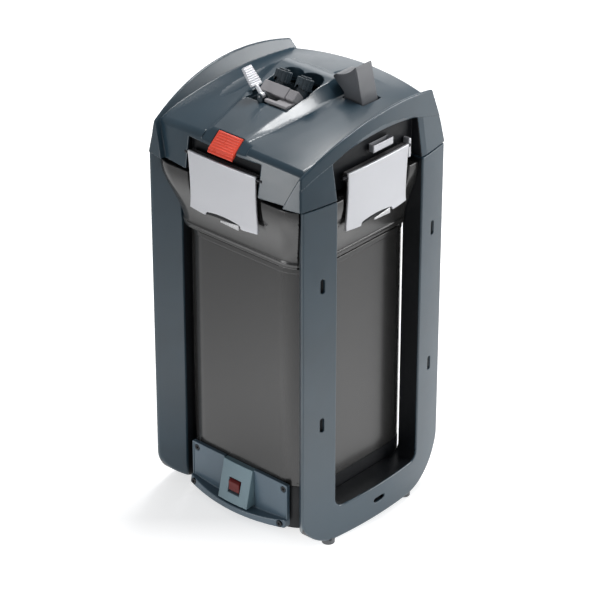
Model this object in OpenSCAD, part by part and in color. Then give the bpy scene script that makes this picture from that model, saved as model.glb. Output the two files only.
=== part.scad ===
// Upright canister filter: a smoke-coloured can in two side frames, a clipped pump head on top.
// Millimetres, +Z up, front faces -Y, feet stand on z = 0.

/* [Overall] */
// half width between the blade corners of the side frames
half_w = 135; // [134:0.5:136]
// half depth between the blade corners
half_d = 142; // [141:0.5:143]
// outward bow of the left and right faces
bow_side = 16; // [15:0.5:17]
// outward bow of the front and back faces
bow_front = 15; // [14:0.5:16]
// height of the seam between frames and head
seam_z = 517; // [516:0.5:518]

/* [Can] */
// half width of the square can
can_half = 112; // [112:0.1:112.2]
// corner radius of the can
can_r = 45; // [44:0.5:46]
// can wall thickness
can_wall = 4; // [3:0.5:5]
// underside of the can
can_z = 76; // [75.5:0.5:76.5]

/* [Frames] */
// wall thickness of the moulded side frames
frame_wall = 3.5; // [3:0.25:4]
// half width of the window in each side frame
window_half = 84; // [83:0.5:85]
// lower edge of the window
window_z = 56; // [55:0.5:57]

/* [Head] */
// inward lean of the head walls over their height
head_lean = 16; // [15:0.5:17]
// radius of the domed top
dome_r = 640; // [636:1:644]
// thickness of the side fins
fin_t = 11; // [10:0.5:12]

/* [Clips] */
// width of each clip
clip_w = 120; // [116:1:122]
// wall thickness of each clip
clip_t = 6; // [5:0.5:6]

/* [Hidden] */
$fn = 96;
rx = (half_d * half_d + bow_side * bow_side) / (2 * bow_side);
ry = (half_w * half_w + bow_front * bow_front) / (2 * bow_front);
foot_z = 6;
head_h = 100;
collar_top = 511;
dome_y = 40;
dome_z = 600 - dome_r;
fin_arc = [35, 262, 345];
clip_front_d = 147;
clip_side_d = 143;
clip_axis_z = 540;
pin_r = 2;
pump = [-40, 52];
primer = [69, 46];
block_tilt = 40;
block_at = [0, -22, 606];
port_tilt = 62;
port_x = 18.7;
port_at = [0, -16, 598];
lever_at = [-18, -47.7, 602];
lever_rest = 41;
panel_tilt = 10;

// ---- shared forms ----

module rounded_square(half, r) {
    for (a = [0, 90]) rotate(a) square([2 * half, 2 * (half - r)], center = true);
    for (i = [-1, 1], j = [-1, 1]) translate([i * (half - r), j * (half - r)]) circle(r);
}

module block(x, y, z) {
    translate([x[0], y[0], z[0]]) cube([x[1] - x[0], y[1] - y[0], z[1] - z[0]]);
}

// tall form with four bowed faces, each set in by `inset` and leaning in by `lean` at the top
module bowed(z, h, inset = [0, 0], lean = 0) {
    intersection() {
        for_side(1) side_bow(z, h, inset[0], lean);
        for_side(-1) side_bow(z, h, inset[0], lean);
        front_bow(z, h, inset[1], lean);
        mirror([0, 1, 0]) front_bow(z, h, inset[1], lean);
    }
}

module for_side(s) {
    if (s > 0) children();
    else mirror([1, 0, 0]) children();
}

module side_bow(z, h, inset, lean) {
    translate([half_w + bow_side - rx, 0, z])
        cylinder(h = h, r1 = rx - inset, r2 = rx - inset - lean, $fn = 480);
}

module front_bow(z, h, inset, lean) {
    translate([0, ry - half_d - bow_front, z])
        cylinder(h = h, r1 = ry - inset, r2 = ry - inset - lean, $fn = 480);
}

// lays a drawing of (y, z) along the X axis from x0 to x1
module along_x(x0, x1) {
    translate([x0, 0, 0]) rotate([90, 0, 90]) linear_extrude(x1 - x0) children();
}

// lays a drawing of (x, z) along the Y axis from y0 to y1
module along_y(y0, y1) {
    translate([0, y1, 0]) rotate([90, 0, 0]) linear_extrude(y1 - y0) children();
}

module cut_corner(r) {
    difference() {
        translate([-20, -20]) square(r + 20);
        translate([r, r]) circle(r);
    }
}

// ---- side frames ----

module frame_profile(i) {
    difference() {
        translate([-half_d + i, foot_z + i]) square([2 * (half_d - i), seam_z - foot_z - 2 * i]);
        translate([-half_d + i, foot_z + i]) cut_corner(60 - i);
        translate([half_d - i, foot_z + i]) mirror([1, 0]) cut_corner(80 - i);
    }
}

module frame_form(i) {
    intersection() {
        side_bow(0, seam_z, i, 0);
        front_bow(0, seam_z, i, 0);
        mirror([0, 1, 0]) front_bow(0, seam_z, i, 0);
        along_x(95, 160) frame_profile(i);
        linear_extrude(seam_z) frame_plan(i);
    }
}

module frame_plan(i) {
    k = half_w - half_d + i * 1.42;
    x = i > 0 ? [can_half - 12, 93, 92] : [can_half, 105, 96];
    polygon([[x[1], -x[2]], [x[1], k - x[1]], [200, k - 200], [200, 200 - k], [x[1], x[1] - k],
        [x[1], x[2]], [x[0], x[2]], [x[0], -x[2]]]);
}

module window_plan(g) {
    translate([-window_half - g, window_z - g + 14])
        square([2 * (window_half + g), seam_z - window_z]);
    translate([-window_half - g + 14, window_z - g]) square([2 * (window_half + g) - 28, 30]);
    for (s = [-1, 1]) translate([s * (window_half + g - 14), window_z - g + 14]) circle(14);
}

module slot_plan(y, z, upright) {
    a = upright ? [0, 7] : [7, 0];
    translate([y, z]) {
        for (s = [-1, 1]) translate([s * a[0], s * a[1]]) circle(3.5);
        square(upright ? [7, 14] : [14, 7], center = true);
    }
}

module right_side() {
    difference() {
        frame_form(0);
        difference() {
            frame_form(frame_wall);
            along_x(90, 170) window_plan(frame_wall);
        }
        along_x(90, 170) window_plan(0);
        along_x(125, 170) for (z = [195, 403]) {
            slot_plan(-108, z, true);
            slot_plan(112, z, true);
        }
        along_x(140, 170) slot_plan(0, 33, false);
    }
}

module right_frame() {
    color("slategray") right_side();
}

module left_frame() {
    color("slategray") mirror([1, 0, 0]) right_side();
}

// ---- can ----

module can_shell() {
    color("dimgray") difference() {
        translate([0, 0, can_z]) linear_extrude(410 - can_z) rounded_square(can_half, can_r);
        translate([0, 0, can_z + 5]) linear_extrude(400)
            rounded_square(can_half - can_wall, can_r - can_wall);
    }
}

// reach of the collar's flare at height z
function flare(z) = let (t = min(1, max(0, (z - 418) / 88))) 119 + 22 * t * t * (3 - 2 * t);

module flare_side(reach, x_half) {
    steps = 14;
    along_x(-x_half, x_half) polygon(concat(
        [[-100, collar_top], [-100, 412]],
        [for (i = [0 : steps]) let (z = 412 + i * (collar_top - 412) / steps)
            [-flare(z) + reach, z]]));
}

module collar_plan() {
    k = half_w - half_d - 2;
    intersection() {
        square([260, 320], center = true);
        for (s = [0, 1]) mirror([s, 0]) polygon([[-200, -200], [-200 - k, -200], [200, 200 + k],
            [200, 300], [-200, 300]]);
        for (s = [0, 1]) mirror([s, 0]) mirror([0, 1]) polygon([[-200, -200], [-200 - k, -200],
            [200, 200 + k], [200, 300], [-200, 300]]);
    }
}

module can_collar() {
    color("gray") difference() {
        union() {
            translate([0, 0, 410]) linear_extrude(collar_top - 410)
                rounded_square(can_half, can_r);
            intersection() {
                union() {
                    flare_side(0, 140);
                    mirror([0, 1, 0]) flare_side(0, 140);
                }
                translate([0, 0, 400]) linear_extrude(120) wedge_plan(2);
            }
            intersection() {
                union() {
                    rotate(90) flare_side(2, 120);
                    rotate(-90) flare_side(2, 120);
                }
                block([-150, 150], [-window_half + 0.5, window_half - 0.5], [400, 520]);
            }
        }
        translate([0, 0, 405]) linear_extrude(110)
            rounded_square(can_half - can_wall, can_r - can_wall);
        for (a = [0, 180]) rotate(a)
            block([-clip_w / 2 - 4, clip_w / 2 + 4], [-160, -clip_front_d + 14], [452, 520]);
        for (a = [90, 270]) rotate(a)
            block([-clip_w / 2 - 4, clip_w / 2 + 4], [-160, -clip_side_d + 14], [452, 520]);
    }
}

// front and back sectors between the diagonal faces of the frame legs
module wedge_plan(gap) {
    k = half_d - half_w + gap;
    for (s = [0, 1]) mirror([0, s])
        polygon([[0, -60], [-60, -60 - k], [-160, -160 - k], [160, -160 - k], [60, -60 - k]]);
}

// ---- base ----

module base_tray() {
    color([0.08, 0.08, 0.09]) difference() {
        translate([0, 0, 10]) linear_extrude(can_z - 10) rounded_square(can_half, can_r);
        translate([0, 0, 14]) linear_extrude(can_z) rounded_square(can_half - 4, can_r - 4);
        for (x = [-1, 1], z = [0, 1]) panel_hole(x, z, 1.6);
        translate([0, 130, 40]) rotate([90, 0, 0]) cylinder(h = 40, r = 5.5);
    }
}

module feet() {
    color([0.06, 0.06, 0.06]) difference() {
        for (x = [-136, 136], y = [-88, 70]) translate([x, y, 0]) {
            cylinder(h = 10, r = 9);
        }
        frame_form(0);
        mirror([1, 0, 0]) frame_form(0);
    }
}

module frame_screws() {
    color("silver") for (s = [-1, 1], y = [-60, 0, 60]) translate([s * 122, y, 2.6]) {
        cylinder(h = foot_z - 2.6, r = 5);
    }
}

module panel_at() {
    translate([0, -124, 82]) rotate([-panel_tilt, 0, 0]) translate([0, 124, -82]) children();
}

module panel_form(i) {
    intersection() {
        block([-88 + i, 88 - i], [-150, -can_half], [14 + i, 82 - i]);
        panel_at() translate([0, 340 - 124 - i * 0, -20]) cylinder(h = 180, r = 340 - i, $fn = 480);
    }
}

module panel_hole(s, up, r) {
    translate([s * 80, -100, up == 1 ? 73 : 22]) rotate([90, 0, 0]) cylinder(h = 60, r = r);
}

function screw_seat(up) = up == 1 ? 114.4 : 123.4;

module front_panel() {
    color("lightslategray") difference() {
        panel_form(0);
        for (s = [0, 1]) mirror([s, 0, 0]) difference() {
            block([27, 88 - 16], [-160, -can_half - 4], [22, 76]);
            panel_form(4);
        }
        block([-27, 27], [-160, -can_half], [10, 80]);
        for (x = [-1, 1], z = [0, 1]) {
            panel_hole(x, z, 2.1);
            translate([0, -screw_seat(z) + 100, 0]) panel_hole(x, z, 4.6);
        }
    }
}

module panel_block() {
    color("cadetblue") difference() {
        intersection() {
            block([-26.7, 26.7], [-150, -can_half], [14, 79.6]);
            panel_at() translate([0, 340 - 126, -20]) cylinder(h = 180, r = 340, $fn = 480);
        }
        block([-10.5, 10.5], [-150, -can_half - 1.5], [37.5, 58.5]);
        for (s = [-1, 1]) translate([s * 10.4, -122, 48]) rotate([0, s * 90, 0])
            cylinder(h = 4, r = 1.55);
    }
}

module panel_screws() {
    color([0.2, 0.2, 0.22]) for (s = [-1, 1], up = [0, 1])
        translate([s * 80, -screw_seat(up), up == 1 ? 73 : 22]) rotate([90, 0, 0]) {
            difference() {
                cylinder(h = 2.4, r = 4.2);
                translate([0, 0, 1.2]) cylinder(h = 2, r = 2, $fn = 6);
            }
            translate([0, 0, 108 - screw_seat(up)]) cylinder(h = screw_seat(up) - 108, r = 1.55);
        }
}

module power_switch() {
    color("red") {
        difference() {
            translate([0, -122, 48]) intersection() {
                block([-10, 10], [-9, 4], [-10, 10]);
                rotate([0, 90, 0]) cylinder(h = 20, r = 10.2, center = true);
            }
            block([-9, 9], [-119.5, -110], [30, 70]);
        }
        for (s = [-1, 1]) translate([s * 9.9, -122, 48]) rotate([0, s * 90, 0])
            cylinder(h = 4, r = 1.5);
    }
}

module control_board() {
    color("darkgreen") block([-60, 60], [-80, 20], [26, 27.6]);
    color([0.1, 0.1, 0.1]) {
        block([-40, -5], [-60, -25], [27.6, 48]);
        block([15, 40], [-50, -30], [27.6, 38]);
        for (x = [-50, 50], y = [-70, 10]) translate([x, y, 14]) cylinder(h = 12, r = 4);
    }
}

module power_gland() {
    color([0.05, 0.05, 0.05]) translate([0, can_half, 40]) rotate([90, 0, 0]) difference() {
        union() {
            translate([0, 0, -12]) cylinder(h = 12, r1 = 6, r2 = 9);
            cylinder(h = 10, r = 5.45);
        }
        translate([0, 0, -13]) cylinder(h = 30, r = 3.6);
    }
}

// ---- filter stack inside the can ----

pipe_at = [78, 78];

module basket(z, h) {
    half = 104;
    difference() {
        translate([0, 0, z]) linear_extrude(h) rounded_square(half, 38);
        translate([0, 0, z + 3]) linear_extrude(h) rounded_square(half - 3, 35);
        translate([pipe_at[0], pipe_at[1], z - 1]) cylinder(h = h + 2, r = 17);
        for (i = [-3 : 3], j = [-3 : 3]) if (i < 2 || j < 2) translate([i * 25, j * 25, z - 1])
            cylinder(h = 5, r = 7);
    }
    difference() {
        translate([pipe_at[0], pipe_at[1], z]) cylinder(h = h, r = 20);
        translate([pipe_at[0], pipe_at[1], z - 1]) cylinder(h = h + 2, r = 17);
        difference() {
            translate([0, 0, z - 1]) linear_extrude(h + 2) square(400, center = true);
            translate([0, 0, z - 1]) linear_extrude(h + 2) rounded_square(half - 3, 35);
        }
    }
}

module floor_grate() {
    color([0.25, 0.27, 0.3]) difference() {
        union() {
            translate([0, 0, 92]) linear_extrude(4) rounded_square(104, 38);
            for (x = [-70, 70], y = [-70, 70]) translate([x, y, 81]) cylinder(h = 11, r = 6);
        }
        for (i = [-6 : 6]) block([-84, 84], [i * 13 - 3, i * 13 + 3], [90, 98]);
        translate([pipe_at[0], pipe_at[1], 90]) cylinder(h = 8, r = 15);
    }
}

module standpipe() {
    color([0.2, 0.22, 0.24]) difference() {
        translate([pipe_at[0], pipe_at[1], 96]) union() {
            cylinder(h = 398, r = 14);
            cylinder(h = 4, r = 16);
        }
        translate([pipe_at[0], pipe_at[1], 80]) cylinder(h = 420, r = 11.5);
    }
}

module lower_basket() {
    color([0.3, 0.33, 0.36]) basket(100, 108);
}

module middle_basket() {
    color([0.3, 0.33, 0.36]) basket(208, 108);
}

module upper_basket() {
    color([0.3, 0.33, 0.36]) basket(316, 108);
}

module fill(z, h) {
    difference() {
        translate([0, 0, z]) linear_extrude(h) rounded_square(99, 32);
        translate([pipe_at[0], pipe_at[1], z - 1]) cylinder(h = h + 2, r = 22);
        block([pipe_at[0], 120], [pipe_at[1] - 22, 120], [z - 1, z + h + 1]);
        block([pipe_at[0] - 22, 120], [pipe_at[1], 120], [z - 1, z + h + 1]);
    }
}

module ceramic_media() {
    color("tan") fill(103, 78);
}

module middle_media() {
    color("tan") fill(211, 78);
}

module fine_pad() {
    color("white") fill(319, 40);
}

module coarse_pad() {
    color("steelblue") difference() {
        translate([0, 0, 430]) linear_extrude(24) rounded_square(96, 30);
        translate([pipe_at[0], pipe_at[1], 400]) cylinder(h = 80, r = 22);
        block([pipe_at[0], 120], [pipe_at[1] - 22, 120], [420, 480]);
        block([pipe_at[0] - 22, 120], [pipe_at[1], 120], [420, 480]);
    }
}

module prefilter_tray() {
    color([0.2, 0.22, 0.24]) difference() {
        translate([0, 0, 425]) linear_extrude(45) rounded_square(104, 38);
        translate([0, 0, 429]) linear_extrude(50) rounded_square(100, 34);
        for (i = [-5 : 4]) block([-84, 60], [i * 15 - 3, i * 15 + 3], [420, 432]);
        translate([pipe_at[0], pipe_at[1], 420]) cylinder(h = 60, r = 15);
    }
}

// ---- head ----

module head_base() {
    color([0.16, 0.17, 0.19]) {
        difference() {
            union() {
                translate([0, 0, 500]) linear_extrude(seam_z - 500) rounded_square(106.6, 39.6);
                translate([pump[0], pump[1], seam_z]) cylinder(h = 48, r = 17);
                translate([0, 0, collar_top]) linear_extrude(seam_z - collar_top)
                    rounded_square(111, 44);
            }
            difference() {
                translate([0, 0, 490]) linear_extrude(22) rounded_square(102, 35);
                translate([pump[0], pump[1], 490]) cylinder(h = 40, r = 28);
                translate([pipe_at[0], pipe_at[1], 490]) cylinder(h = 40, r = 19);
            }
            translate([pump[0], pump[1], 470]) cylinder(h = 41, r = 22);
            translate([pump[0], pump[1], 470]) cylinder(h = 88, r = 14);
            translate([pump[0], pump[1], 540]) cylinder(h = 22, r = 4);
            translate([pipe_at[0], pipe_at[1], 490]) cylinder(h = 20, r = 15);
            translate([primer[0], primer[1], 490]) cylinder(h = 40, r = 5);
        }
    }
}

module seal_ring() {
    color([0.1, 0.1, 0.1]) difference() {
        translate([0, 0, 503]) linear_extrude(4)
            rounded_square(can_half - can_wall - 0.3, can_r - can_wall - 0.3);
        translate([0, 0, 500]) linear_extrude(12) rounded_square(106.6, 39.6);
    }
}

module fin_profile() {
    intersection() {
        translate([-200, seam_z]) square([400, 130]);
        translate([fin_arc[0], fin_arc[1]]) circle(fin_arc[2], $fn = 180);
    }
}

// raised tongue on the dome: a spine that climbs from the front and falls again behind
function tongue_top(y) = y < 40 ? 580 + (y + 122) * 0.21 : 614 - (y - 40) * 0.19;
function tongue_right(y) = 29 + (y + 122) * 0.033;
function tongue_left(y) = -34 - (y + 122) * 0.16;

module tongue() {
    drop = 36;
    out = 52;
    hull() for (y = [-150, 40, 140]) translate([0, y, 0]) rotate([90, 0, 0]) linear_extrude(0.1)
        polygon([[tongue_left(y) - out, tongue_top(y) - drop], [tongue_left(y), tongue_top(y)],
            [tongue_right(y), tongue_top(y)], [tongue_right(y) + out, tongue_top(y) - drop]]);
}

module clip_bay(grow) {
    w = clip_w / 2 + 3 + grow;
    for (a = [0, 180]) rotate(a)
        block([-w, w], [-170, -clip_front_d + 16 + grow], [500, 560 + grow]);
    for (a = [90, 270]) rotate(a)
        block([-w, w], [-170, -clip_side_d + 16 + grow], [500, 568 + grow]);
}

module head_solid(i) {
    intersection() {
        bowed(seam_z, head_h, [8 + i, 8 + i], head_lean);
        translate([0, dome_y, dome_z]) sphere(dome_r - i, $fn = 180);
        block([-200, 200], [-200, 200], [seam_z, 700]);
    }
}

module head_cover() {
    color("slategray") difference() {
        union() {
            head_solid(0);
            difference() {
                intersection() {
                    bowed(seam_z, head_h, [0, 0], head_lean);
                    along_x(-200, 200) fin_profile();
                }
                intersection() {
                    for_side(1) side_bow(seam_z - 1, head_h + 2, fin_t, head_lean);
                    for_side(-1) side_bow(seam_z - 1, head_h + 2, fin_t, head_lean);
                }
            }
            intersection() {
                tongue();
                bowed(seam_z, head_h, [8, 8], head_lean);
            }
        }
        difference() {
            head_solid(5);
            clip_bay(7);
        }
        clip_bay(0);
        well_cut();
        primer_cut();
        tab_cut();
        clip_pin_rods(pin_r + 0.02);
        block([-76, -43], [lever_at[1] - 10.5, lever_at[1] + 10.5], [593, 620]);
    }
}

module well_plan(i) {
    translate([-44 + i, -58.5 + i]) square([84.5 - 2 * i, 70.5 - 2 * i]);
    for (x = [-port_x - 1, port_x - 2]) translate([x, 12 - i]) circle(21 - i);
}

module well_cut() {
    translate([0, 0, 570]) linear_extrude(80) well_plan(0);
}

module well_liner() {
    color([0.1, 0.11, 0.12]) difference() {
        union() {
            difference() {
                translate([0, 0, 570]) linear_extrude(19) well_plan(0.1);
                translate([0, 0, 573]) linear_extrude(30) well_plan(2);
            }
            for (x = [-port_x, port_x]) translate([x, -24, 556]) cylinder(h = 15, r = 12);
            for (s = [-1, 1]) {
                y = lever_at[1] + s * 4.25;
                block([lever_at[0] - 4, lever_at[0] + 4], [y - 0.75, y + 0.75], [572, lever_at[2]]);
                translate([lever_at[0], y + 0.75, lever_at[2]]) rotate([90, 0, 0])
                    cylinder(h = 1.5, r = 4);
            }
        }
        for (x = [-port_x, port_x]) translate([x, -24, 550]) cylinder(h = 30, r = 9.3);
        translate(lever_at) rotate([90, 0, 0]) cylinder(h = 40, r = 1.5, center = true);
    }
}

module primer_cut() {
    block([primer[0] - 16, primer[0] + 17.5], [primer[1] - 16.5, primer[1] + 17.5], [560, 660]);
}

// direction down the sloping face that carries the flow tab
tab_at = [-125, 580];
tab_slope = 41;

module tab_frame() {
    translate([0, tab_at[0], tab_at[1]]) rotate([tab_slope, 0, 0]) children();
}

module tab_cut() {
    tab_frame() {
        block([-40, 40], [-60, 0], [0, 30]);
        block([-22, 22], [-60, 0], [-5, 30]);
    }
}

module flow_tab() {
    color("red") tab_frame() {
        block([-21.6, 21.6], [-29, -0.5], [-4.7, -0.4]);
        for (i = [0 : 5]) block([-19, 19], [-26.5 + i * 4.4, -24.6 + i * 4.4], [-0.5, 1]);
        block([-21.6, 21.6], [-33, -28.9], [-4.7, -1.5]);
    }
}

module clip_pin_rods(r) {
    for (a = [0, 180]) rotate(a) translate([0, -clip_front_d + clip_t, clip_axis_z])
        rotate([0, 90, 0]) cylinder(h = clip_w + 14, r = r, center = true);
    for (a = [90, 270]) rotate(a) translate([0, -clip_side_d + clip_t, clip_axis_z])
        rotate([0, 90, 0]) cylinder(h = clip_w + 14, r = r, center = true);
}

module clip_pins() {
    color("silver") clip_pin_rods(pin_r);
}

module clip(d) {
    w = clip_w / 2;
    translate([0, -d, 0]) difference() {
        union() {
            along_x(-w, w) polygon([[0, 541], [1.5, 545], [clip_t, 546], [clip_t, 470], [4, 466],
                [-3, 461], [-5.5, 462.5], [-1, 472]]);
            translate([0, clip_t, clip_axis_z]) rotate([0, 90, 0])
                cylinder(h = 2 * w, r = 6, center = true);
            for (s = [-1, 1]) block([s * (w - 8) - 2, s * (w - 8) + 2], [clip_t - 1, 11],
                [474, 540]);
        }
        for (s = [-1, 1]) translate([s * (w + 396), 20, 503]) rotate([90, 0, 0])
            cylinder(h = 60, r = 400, $fn = 180);
        translate([0, clip_t, clip_axis_z]) rotate([0, 90, 0])
            cylinder(h = 3 * w, r = pin_r + 0.05, center = true);
    }
}

module clip_front() {
    color("lightgray") clip(clip_front_d);
}

module clip_back() {
    color("lightgray") rotate(180) clip(clip_front_d);
}

module clip_right() {
    color("lightgray") rotate(90) clip(clip_side_d);
}

module clip_left() {
    color("lightgray") rotate(-90) clip(clip_side_d);
}

// ---- pump ----

module motor_stator() {
    color("goldenrod") translate([pump[0], pump[1], 520]) difference() {
        cylinder(h = 36, r = 34);
        translate([0, 0, -1]) cylinder(h = 38, r = 17.3);
    }
}

module rotor() {
    color([0.15, 0.15, 0.17]) translate([pump[0], pump[1], 0]) difference() {
        union() {
            translate([0, 0, 513]) cylinder(h = 38, r = 12.5);
            translate([0, 0, 507]) cylinder(h = 6, r = 12.5);
            translate([0, 0, 505]) cylinder(h = 2, r = 18);
            for (i = [0 : 5]) rotate(i * 60) block([3, 18], [-1, 1], [498, 506]);
            translate([0, 0, 498]) cylinder(h = 8, r = 4);
        }
        translate([0, 0, 480]) cylinder(h = 90, r = 1.55);
    }
}

module pump_shaft() {
    color("white") translate([pump[0], pump[1], 491]) cylinder(h = 68, r = 1.5);
}

module shaft_bushes() {
    color([0.1, 0.1, 0.1]) for (z = [492, 554]) translate([pump[0], pump[1], z]) difference() {
        cylinder(h = 4, r = 3.95);
        translate([0, 0, -1]) cylinder(h = 6, r = 1.5);
    }
}

module impeller_cover() {
    color([0.3, 0.3, 0.32]) translate([pump[0], pump[1], 490]) difference() {
        cylinder(h = 6, r = 21.8);
        translate([0, 0, 4]) cylinder(h = 4, r = 19.5);
        difference() {
            translate([0, 0, -1]) cylinder(h = 8, r = 12);
            translate([0, 0, -2]) cylinder(h = 10, r = 6);
            for (a = [0, 60, 120]) rotate(a) block([-13, 13], [-1.2, 1.2], [-1, 6]);
        }
        translate([0, 0, 2]) cylinder(h = 8, r = 4);
        translate([0, 0, -2]) cylinder(h = 10, r = 1.5);
    }
}

// ---- primer ----

module primer_cylinder() {
    color([0.2, 0.2, 0.22]) translate([primer[0], primer[1], seam_z]) difference() {
        cylinder(h = 44, r = 14);
        translate([0, 0, 4]) cylinder(h = 38, r = 11.5);
        translate([0, 0, -1]) cylinder(h = 10, r = 4);
        translate([0, 0, 40]) cylinder(h = 10, r = 5.4);
    }
}

module sail_profile() {
    difference() {
        polygon([[85.5, 590], [72.5, 643], [70, 643.4], [37, 622], [34.5, 619], [36, 617.5],
            [54, 601.5], [54, 590]]);
        translate([34.5, 671]) circle(47.5, $fn = 120);
    }
}

module primer_button() {
    color("gray") {
        difference() {
            along_y(primer[1] - 15.5, primer[1] + 16.5) sail_profile();
            block([57, 82], [primer[1] - 12.5, primer[1] + 13.5], [580, 604]);
        }
        translate([primer[0], primer[1], 0]) {
            translate([0, 0, 560]) cylinder(h = 46, r = 5);
            translate([0, 0, 530]) cylinder(h = 31, r = 4);
            translate([0, 0, 524]) cylinder(h = 6, r = 11.2);
        }
    }
}

module primer_spring() {
    color("silver") translate([primer[0], primer[1], 0]) difference() {
        translate([0, 0, 561.1]) cylinder(h = 42.7, r = 8.5);
        translate([0, 0, 550]) cylinder(h = 60, r = 7);
    }
}

// ---- hose adapter ----

module block_axes() {
    translate(block_at) rotate([block_tilt - 90, 0, 0]) children();
}

module port_axes(x) {
    translate([x, port_at[1], port_at[2]]) rotate([port_tilt - 90, 0, 0]) children();
}

module hose_adapter() {
    color([0.35, 0.34, 0.33]) difference() {
        union() {
            block_axes() block([-38, 39], [-9, 9], [-14, 2]);
            for (x = [-port_x, port_x]) {
                port_axes(x) cylinder(h = 12, r = 10.5);
                port_axes(x) cylinder(h = 27.5, r = 7.5);
                port_axes(x) translate([0, 0, 27.5]) cylinder(h = 10.5, r = 8);
                translate([x, -24, 560]) cylinder(h = 44, r = 9);
            }
        }
        for (x = [-port_x, port_x]) {
            port_axes(x) translate([0, 0, -1]) cylinder(h = 60, r = 6);
            translate([x, -24, 550]) cylinder(h = 45, r = 6.5);
        }
    }
}

module hose_nut(x) {
    color([0.2, 0.23, 0.27]) port_axes(x) translate([0, 0, 12.2]) difference() {
        cylinder(h = 15, r = 11.5);
        translate([0, 0, -1]) cylinder(h = 20, r = 7.55);
        for (a = [0 : 30 : 330]) rotate(a) translate([12.2, 0, -1]) cylinder(h = 20, r = 1.5);
    }
}

module nut_left() {
    hose_nut(-port_x);
}

module nut_right() {
    hose_nut(port_x);
}

module lock_lever() {
    color("lightgray") translate(lever_at) rotate([0, -lever_rest, 0]) difference() {
        union() {
            translate([0, 3.2, 0]) rotate([90, 0, 0]) cylinder(h = 6.4, r = 3.8);
            block([-2, 2], [-3.2, 3.2], [0, 22]);
            block([-2.5, 2.5], [-8.5, 8.5], [20, 46]);
            for (i = [0 : 6]) block([2, 4.2], [-8.5, 8.5], [21.5 + i * 3.5, 23.5 + i * 3.5]);
        }
        translate([0, 20, 0]) rotate([90, 0, 0]) cylinder(h = 40, r = 1.55);
    }
}

module lever_pin() {
    color("silver") translate([lever_at[0], lever_at[1] + 5.5, lever_at[2]]) rotate([90, 0, 0])
        cylinder(h = 11.5, r = 1.5);
}

can_shell();
can_collar();
left_frame();
right_frame();
base_tray();
feet();
frame_screws();
front_panel();
panel_block();
panel_screws();
power_switch();
control_board();
power_gland();
floor_grate();
standpipe();
lower_basket();
middle_basket();
upper_basket();
prefilter_tray();
ceramic_media();
middle_media();
fine_pad();
coarse_pad();
head_base();
seal_ring();
head_cover();
well_liner();
clip_front();
clip_back();
clip_left();
clip_right();
clip_pins();
motor_stator();
rotor();
pump_shaft();
shaft_bushes();
impeller_cover();
primer_cylinder();
primer_button();
primer_spring();
hose_adapter();
nut_left();
nut_right();
lock_lever();
lever_pin();
flow_tab();
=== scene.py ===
"""The looks of the canister filter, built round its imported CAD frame.

Shapes are written as distance functions in millimetres, negative inside, and meshed by surface nets.
"""

import math

import bpy
import numpy as np
from mathutils import Matrix, Vector


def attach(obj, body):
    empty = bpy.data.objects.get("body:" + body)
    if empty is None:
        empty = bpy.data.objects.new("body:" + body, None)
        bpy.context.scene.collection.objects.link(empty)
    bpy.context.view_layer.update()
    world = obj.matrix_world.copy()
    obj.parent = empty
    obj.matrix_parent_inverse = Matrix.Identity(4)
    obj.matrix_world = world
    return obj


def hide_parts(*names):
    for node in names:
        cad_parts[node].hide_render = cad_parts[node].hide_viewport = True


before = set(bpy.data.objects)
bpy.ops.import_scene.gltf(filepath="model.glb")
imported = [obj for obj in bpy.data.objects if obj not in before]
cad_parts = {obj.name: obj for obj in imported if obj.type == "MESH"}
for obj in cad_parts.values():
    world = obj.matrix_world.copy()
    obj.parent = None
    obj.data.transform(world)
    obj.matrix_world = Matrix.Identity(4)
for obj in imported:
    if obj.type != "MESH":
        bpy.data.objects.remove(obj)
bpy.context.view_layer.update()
scene = bpy.context.scene

MM = 0.001
SEAM = 517.0  # the joint line between the side frames and the head
BLADE = (135.0, 142.0)  # half width and half depth at the corners of the frames
SIDE_ARC = (-487.125, 638.1)  # centre and radius of the bowed sides, in x
FRONT_ARC = (-458.0, 615.0)  # and of the bowed front and back, in y
CAN_HALF, CAN_R = 112.0, 45.0
LEAN = 0.16  # inward lean of the head's walls

# ---- camera ----

eye = Vector((2.23648, -2.48541, 2.14073))
aim = Vector((-0.01099, 0.00998, 0.28465))
camera_data = bpy.data.cameras.new("camera")
camera = bpy.data.objects.new("camera", camera_data)
scene.collection.objects.link(camera)
camera.location = eye
camera.rotation_euler = (aim - eye).to_track_quat("-Z", "Y").to_euler()
camera_data.sensor_width = 36
camera_data.lens = 171.81
camera_data.clip_end = 30
scene.camera = camera


# ---- distance functions ----


def meet(*parts, r=1.0):
    """What all parts share, with convex edges of radius r."""
    out = parts[0]
    for part in parts[1:]:
        u, v = np.maximum(out + r, 0), np.maximum(part + r, 0)
        out = np.minimum(-r, np.maximum(out, part)) + np.hypot(u, v)
    return out


def join(*parts, r=1.0):
    """All the parts together, with concave corners of radius r."""
    out = parts[0]
    for part in parts[1:]:
        u, v = np.maximum(r - out, 0), np.maximum(r - part, 0)
        out = np.maximum(r, np.minimum(out, part)) - np.hypot(u, v)
    return out


def cut(form, tool, r=1.0):
    return meet(form, -tool, r=r)


def box(x, y, z, low, high, r=0.5):
    mid = [(a + b) / 2 for a, b in zip(low, high)]
    half = [(b - a) / 2 - r for a, b in zip(low, high)]
    q = [abs(v - m) - h for v, m, h in zip((x, y, z), mid, half)]
    out = np.sqrt(sum(np.maximum(v, 0) ** 2 for v in q))
    return out + np.minimum(np.maximum(q[0], np.maximum(q[1], q[2])), 0) - r


def rounded_square(x, y, half, r):
    a, b = abs(x) - (half - r), abs(y) - (half - r)
    return np.hypot(np.maximum(a, 0), np.maximum(b, 0)) + np.minimum(np.maximum(a, b), 0) - r


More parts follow.
